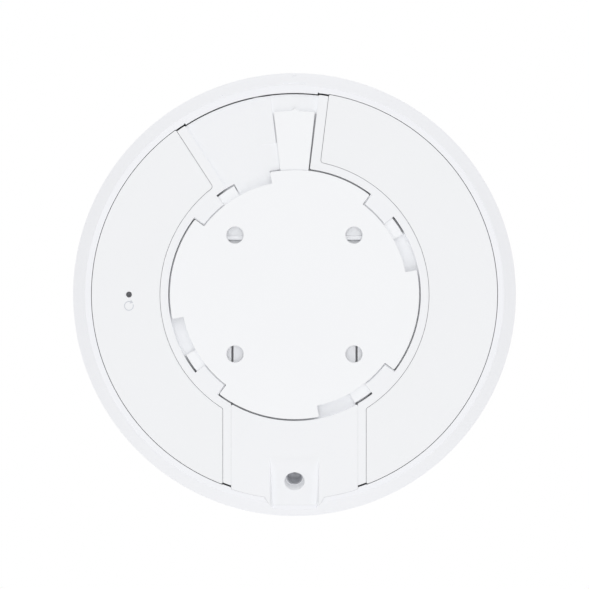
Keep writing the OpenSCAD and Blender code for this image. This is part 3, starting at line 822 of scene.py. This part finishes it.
def reset_icon():
    """Generic mark for the reset hole: an open circle that ends in an arrowhead."""
    centre = Vector((PINHOLE_X, -4.0))
    radius, half, rise = 1.55, 0.16, 0.03
    outer = [centre + polar(radius + half, a) for a in range(70, 381, 10)]
    inner = [centre + polar(radius - half, a) for a in range(380, 69, -10)]
    z = Z_WING
    stroke = slab(outer + inner, z - 0.05, z + rise)
    at = math.radians(70)
    along = Vector((math.sin(at), -math.cos(at)))
    out = Vector((math.cos(at), math.sin(at)))
    root = centre + out * radius - along * 0.05
    head = slab([root + out * 0.72, root - out * 0.72, root + along * 1.15], z - 0.05, z + rise)
    shade = plastic("icon_ink", tone(212, 214, 220), PAINTED_GAP_SHADE, 0.6)
    piece(union(stroke, head), "reset_icon", "access_point", "panel_plastic", material=shade)


# ---------------------------------------------------------------- cable cover

def lip_outline(grow):
    """Plan of the lip below the channel, grown by that much."""
    lip_x, end_x, end_y = LIP_X + grow, CHANNEL_X + grow, LIP_Y - grow
    return [Vector(p) for p in ((-lip_x, -71.0), (-lip_x, -71.5), (-end_x, end_y),
                                (end_x, end_y), (lip_x, -71.5), (lip_x, -71.0))]


def lid_outline(grow):
    """Plan of the cable cover, grown by that much on every side."""
    x, r_in, r_out = COVER_X + grow, RIM_R - grow, COVER_R + grow
    top, end, lip = low(-1, r_in, x), low(-1, r_out, x), low(-1, r_out, LIP_X + grow)
    left, right = (-CHANNEL_X - grow, LIP_Y - grow), (CHANNEL_X + grow, LIP_Y - grow)
    runs = [arc(r_in, 540 - top, top), line(polar(r_in, top), polar(r_out, end)), arc(r_out, end, lip),
            line(polar(r_out, lip), left), line(left, right),
            line(right, polar(r_out, 540 - lip)), arc(r_out, 540 - lip, 540 - end),
            line(polar(r_out, 540 - end), polar(r_in, 540 - top))]
    return joined(runs, [0.5, 0.3, 0.3, 0.2, 0.2, 0.3, 0.3, 0.5])


def outer_half_section():
    """The outer form with its side drawn on above the rear ring."""
    above = [Vector((0, Z_RING + 2)), Vector((RING_R - 2 * SIDE_SLOPE, Z_RING + 2))]
    return above + shoulder(0) + face(0)[1:]


def cable_cover():
    lid = common(slab(lid_outline(-COVER_GAP), Z_RIM - COVER_T, Z_RIM, SEAM_EDGE),
                 lathe(outer_half_section()))
    walls = common(block(-CHANNEL_X - WALL, CHANNEL_X + WALL, LIP_Y, -59, -30, Z_RIM - 0.3),
                   above_ramp(20, COVER_T, -90), lathe(outer_half_section()))
    walls = common(walls, union(slab(lip_outline(0), -31, 1), block(-LIP_X, LIP_X, -71.2, -59, -31, 1)))
    boss = outlet_tube(5.2, 1, 5.2)
    riser = common(ring(RIM_R, RIM_R + WALL, Z_WELL - WALL, Z_RIM - 0.5),
                   block(-SHELF_X, SHELF_X, -60, -30, -30, 0))
    shelf = common(disc(RIM_R + WALL, Z_WELL - WALL, Z_WELL),
                   block(-SHELF_X, SHELF_X, -60, TRAY[2] - 0.4, -30, 0))
    mouth = [(0, -OUTLET_DEPTH), (OUTLET_R - 0.45, -OUTLET_DEPTH), (OUTLET_R, -0.25),
             (OUTLET_R + 0.07, -0.08), (OUTLET_R + 0.25, 0), (OUTLET_R + 0.25, 10), (0, 10)]
    whole = cut(union(lid, walls, boss, riser, shelf), channel(), outlet_lathe(mouth),
                outlet_tube(PASSAGE_R, 0, 12))
    piece(whole, "cable_lid", "access_point", "frame_plastic", "cable_cover")


def cable_grommet():
    """Flanged lining with a thin web across its inner end that a cable pushes open."""
    outer, bore, web_hole = PASSAGE_R - 0.05, PASSAGE_R - 0.35, 0.6
    top, flange, web, end = -OUTLET_DEPTH - 0.1, -6.2, -7, -7.8
    section = cornered([(web_hole, end, 0.1), (4.2, end, 0.3), (4.2, flange, 0.3), (outer, flange, 0),
                        (outer, top, 0.1), (bore, top, 0.1), (bore, web, 0.2), (web_hole, web, 0.1)])
    piece(outlet_lathe(section), "outlet_grommet", "access_point", "grommet_rubber", "cable_grommet")


# ---------------------------------------------------------------- front cover

def shoulder(t, count=30):
    """Side's lower end round to the front face, inset by t."""
    return bezier([Vector((SIDE_R - 1.04 * t, Z_WIDE)),
                   Vector((SIDE_R + 4 * SIDE_SLOPE - 1.04 * t, Z_WIDE - 4)),
                   Vector((WIDE_R - 2.5 - t, Z_FRONT + 1.9 + t)), Vector((FACE_R, Z_FRONT + 0.9 + t))], count)


def face(t, count=20):
    return bezier([Vector((FACE_R, Z_FRONT + 0.9 + t)), Vector((FACE_R - 12, Z_FRONT + 0.13 + t)),
                   Vector((FACE_R / 3, Z_FRONT + t)), Vector((0, Z_FRONT + t))], count)


def face_z(radius):
    """Height of the front face at a radius."""
    points = face(0, 60)
    for p, q in zip(points, points[1:]):
        if q.x <= radius <= p.x:
            return p.y + (q.y - p.y) * (p.x - radius) / (p.x - q.x)
    return Z_FRONT


def cover_section():
    inner_top = Vector((RING_R - 1.04 * COVER_WALL + RING_T * SIDE_SLOPE, Z_RING - RING_T))
    edge = Vector((RING_R, Z_RING))
    side = [edge, shoulder(0)[0]]
    runs = [line((OPEN_R, Z_RING - RING_T), (OPEN_R, Z_RING)), line((OPEN_R, Z_RING), edge),
            side, shoulder(0), face(0), line((0, Z_FRONT), (0, Z_FRONT + COVER_WALL)),
            face(COVER_WALL)[::-1], shoulder(COVER_WALL)[::-1],
            [shoulder(COVER_WALL)[0], inner_top], line(inner_top, (OPEN_R, Z_RING - RING_T))]
    return joined(runs, [0.15, 0.3, 0, 0, 0, 0, 0, 0, 0.3, 0.1])


def lid_notch():
    gap = COVER_GAP
    plan = slab(lid_outline(gap), Z_RIM - COVER_T - gap, 10)
    lip = common(union(slab(lip_outline(gap), -30, 10),
                       block(-LIP_X - gap, LIP_X + gap, -71.2, -61.2, -30, 10)),
                 above_ramp(LIP_X + 1, COVER_T + gap, -90))
    return [plan, lip, channel()]


def side_mark(shape, angle, z):
    """Sets a shape square to the cover's side at that angle and height, with its +Z outwards."""
    spin = Matrix.Rotation(math.radians(angle - 90), 4, "Z")
    tilt = Matrix.Rotation(math.atan(SIDE_SLOPE) - math.pi / 2, 4, "X")
    return placed(shape, spin @ Matrix.Translation((0, RING_R + SIDE_SLOPE * (Z_RING - z), z)) @ tilt)


def strip_lips():
    """Short lips that close in on the ends of the four strips."""
    out = off_ray(STRIP_LIP_R, 0, STRIP_W)
    ends = [(BAY[0] - out, BAY[0]), (BAY[1], BAY[1] + out),
            (low(-1, STRIP_LIP_R, WING_X), low(-1, STRIP_LIP_R, COVER_X + 0.1)),
            (low(1, STRIP_LIP_R, COVER_X + 0.1), low(1, STRIP_LIP_R, WING_X))]
    return [ring(STRIP_LIP_R, OPEN_R + 0.4, Z_RING - RING_T, Z_RING, *end) for end in ends]


def front_cover():
    shell = lathe(cover_section())
    posts = [post(*polar(POST_R, a), 3.2, Z_FRONT + 2.8, Z_DECK - DECK_T) for a in POST_A]
    for a in PEG_A:
        posts.append(post(*polar(PEG_R, a), 1.8, Z_FRONT + 1, -28.4))
        posts.append(post(*polar(PEG_R, a), 0.9, -28.5, -27))
    lip = ring(BAY_LIP_R, OPEN_R + 0.4, Z_RING - RING_T, Z_RING,
               BAY[0] + BAY_LIP_GAP, BAY[1] - BAY_LIP_GAP)
    shell = union(shell, lip, *strip_lips(), *posts)
    bores = [post(*polar(POST_R, a), 1.25, -18, 0) for a in POST_A]
    groove = ring(LIGHT_R[0], LIGHT_R[1], Z_FRONT - PAST, Z_FRONT + GROOVE)
    windows = [ring(LIGHT_R[0] + 0.3, LIGHT_R[1] - 0.3, Z_FRONT, Z_FRONT + 5,
                    90 * q - WINDOW / 2, 90 * q + WINDOW / 2) for q in range(4)]
    dash = side_mark(block(-MARK_W / 2, MARK_W / 2, -MARK_R, MARK_R, -MARK_DEPTH, 1, 0.2), *LOCKED_MARK)
    dot = side_mark(disc(MARK_R, -MARK_DEPTH, 1), *UNLOCKED_MARK)
    shell = cut(shell, groove, *windows, *bores, *lid_notch(), release_pin(), dash, dot)
    piece(shell, "front_shell", "access_point", "cover_plastic", "front_cover")


def light_ring():
    r_in, r_out = LIGHT_R[0] + 0.05, LIGHT_R[1] - 0.05
    steps = 6
    lower = [r_in + (r_out - r_in) * k / steps for k in range(steps + 1)]
    section = [(r, face_z(r)) for r in lower] + [(r_out, Z_FRONT + GROOVE), (r_in, Z_FRONT + GROOVE)]
    body = lathe(section)
    legs = [ring(r_in + 0.3, r_out - 0.3, Z_FRONT + GROOVE - 0.1, light_high.z,
                 90 * q - WINDOW / 2 + 0.5, 90 * q + WINDOW / 2 - 0.5) for q in range(4)]
    piece(union(body, *legs), "light_guide", "access_point", "diffuser", "light_ring")


# ---------------------------------------------------------------- carried-over CAD nodes

# material and edge bevel in millimetres of each node shown as the CAD made it
CAD_FINISH = {
    "heat_spreader": ("cast_aluminium", 0.3), "main_board": ("board_laminate", 0.0),
    "jack_shield": ("tinned_steel", 0.08), "jack_insert": ("black_plastic", 0.1),
    "jack_contacts": ("gold_plating", 0.0), "processor_shield": ("tinned_steel", 0.08),
    "radio_shields": ("tinned_steel", 0.08), "thermal_pads": ("thermal_silicone", 0.15),
    "board_capacitors": ("capacitor_cans", 0.35), "antennas_5ghz": ("antenna_copper", 0.08),
    "antennas_2ghz": ("antenna_copper", 0.08), "antenna_cables": ("cable_jacket", 0.0),
    "led_board": ("board_laminate", 0.0), "status_leds": ("led_lens", 0.1),
    "led_ribbon": ("ribbon_film", 0.0),
    "reset_switch": ("black_plastic", 0.15), "reset_button": ("black_plastic", 0.2),
    "reset_plunger": ("plunger_plastic", 0.2), "housing_screws": ("screw_steel", 0.1),
    "board_screws": ("screw_steel", 0.1),
}


def finish_cad_nodes():
    for node, (slot, edge) in CAD_FINISH.items():
        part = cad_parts[node]
        part.data.materials.clear()
        part.data.materials.append(FINISH[slot])
        if edge:
            weld = part.modifiers.new("weld", "WELD")
            weld.merge_threshold = 1e-6
            bevel = part.modifiers.new("edges", "BEVEL")
            bevel.width = edge * MM
            bevel.segments = 2
            bevel.limit_method = "ANGLE"
            bevel.angle_limit = math.radians(40)


# ---------------------------------------------------------------- stage, light and camera

def world_light():
    """Soft pale studio: brightest overhead, a little more light from front and back than from the sides."""
    world = bpy.data.worlds.new("studio")
    bpy.context.scene.world = world
    world.use_nodes = True
    nodes, links = world.node_tree.nodes, world.node_tree.links

    def math_node(operation, a, b):
        node = nodes.new("ShaderNodeMath")
        node.operation = operation
        for i, value in enumerate((a, b)):
            if isinstance(value, bpy.types.NodeSocket):
                links.new(value, node.inputs[i])
            else:
                node.inputs[i].default_value = value
        return node.outputs[0]

    direction = nodes.new("ShaderNodeTexCoord").outputs["Generated"]
    split = nodes.new("ShaderNodeSeparateXYZ")
    links.new(direction, split.inputs[0])
    up = math_node("MAXIMUM", split.outputs["Z"], 0.0)
    ends = math_node("MULTIPLY", split.outputs["Y"], split.outputs["Y"])
    strength = math_node("ADD", math_node("MULTIPLY", up, 0.10), math_node("MULTIPLY", ends, 0.12))
    strength = math_node("ADD", strength, 0.745)
    light = nodes["Background"]
    light.inputs["Color"].default_value = (1.0, 1.0, 1.0, 1)
    links.new(strength, light.inputs["Strength"])
    backdrop = nodes.new("ShaderNodeBackground")
    backdrop.inputs["Color"].default_value = tone(236, 238, 241)
    seen = nodes.new("ShaderNodeLightPath").outputs["Is Camera Ray"]
    mix = nodes.new("ShaderNodeMixShader")
    links.new(seen, mix.inputs[0])
    links.new(light.outputs[0], mix.inputs[1])
    links.new(backdrop.outputs[0], mix.inputs[2])
    links.new(mix.outputs[0], nodes["World Output"].inputs["Surface"])


def floor():
    """Plain pale floor: clean white from straight above, softly shaded from the side, open from below."""
    half = 1500
    verts = [(-half, -half, 0), (half, -half, 0), (half, half, 0), (-half, half, 0)]
    ground = bpy.data.objects.new("floor", bpy.data.meshes.new("floor"))
    ground.data.from_pydata([tuple(c * MM for c in v) for v in verts], [], [[0, 1, 2, 3]])
    bpy.context.scene.collection.objects.link(ground)
    ground.location.z = (Z_FRONT - 0.05) * MM
    material = bpy.data.materials.new("floor")
    material.use_nodes = True
    nodes, links = material.node_tree.nodes, material.node_tree.links
    nodes.remove(nodes["Principled BSDF"])
    white = nodes.new("ShaderNodeEmission")
    glow = nodes.new("ShaderNodeEmission")
    glow.inputs["Strength"].default_value = 0.97
    paper = nodes.new("ShaderNodeBsdfDiffuse")
    paper.inputs["Color"].default_value = tone(232, 233, 236)
    clear = nodes.new("ShaderNodeBsdfTransparent")
    geometry = nodes.new("ShaderNodeNewGeometry")
    cosine = nodes.new("ShaderNodeVectorMath")
    cosine.operation = "DOT_PRODUCT"
    links.new(geometry.outputs["Normal"], cosine.inputs[0])
    links.new(geometry.outputs["Incoming"], cosine.inputs[1])
    overhead = nodes.new("ShaderNodeMapRange")
    overhead.inputs["From Min"].default_value = 0.85
    overhead.inputs["From Max"].default_value = 0.97
    links.new(cosine.outputs["Value"], overhead.inputs["Value"])
    path = nodes.new("ShaderNodeLightPath")

    def mix(factor, first, second):
        node = nodes.new("ShaderNodeMixShader")
        links.new(factor, node.inputs[0])
        links.new(first, node.inputs[1])
        links.new(second, node.inputs[2])
        return node.outputs[0]

    seen = mix(overhead.outputs[0], paper.outputs[0], white.outputs[0])
    lit = mix(path.outputs["Is Camera Ray"], glow.outputs[0], seen)
    surface = mix(geometry.outputs["Backfacing"], lit, clear.outputs[0])
    links.new(surface, nodes["Material Output"].inputs["Surface"])
    ground.data.materials.append(material)


def soft_light(name, position, size, power):
    lamp = bpy.data.lights.new(name, "AREA")
    lamp.shape = "DISK"
    lamp.size = size
    lamp.energy = power
    light = bpy.data.objects.new(name, lamp)
    light.location = position
    light.rotation_mode = "QUATERNION"
    light.rotation_quaternion = (-Vector(position)).to_track_quat("-Z", "Y")
    bpy.context.scene.collection.objects.link(light)


def camera():
    """Straight above the rear face, 0.9 m away."""
    lens = bpy.data.cameras.new("camera")
    lens.sensor_width = 36
    lens.lens = 155.9
    lens.clip_start = 0.05
    lens.clip_end = 10
    eye = bpy.data.objects.new("camera", lens)
    eye.location = (0.0, 0.00002, 0.9)
    bpy.context.scene.collection.objects.link(eye)
    bpy.context.scene.camera = eye


def studio():
    world_light()
    floor()
    soft_light("key", (-0.1, -1.2, 1.6), 1.2, 4.6)
    soft_light("fill", (0.1, 1.2, 1.6), 1.2, 3.4)
    camera()
    bpy.context.scene.view_settings.view_transform = "Standard"
    bpy.context.scene.view_settings.look = "None"


mounting_plate()
latch_tongue()
rear_frame()
wing_panel(-1)
wing_panel(1)
reset_icon()
cable_cover()
cable_grommet()
front_cover()
light_ring()
finish_cad_nodes()
studio()
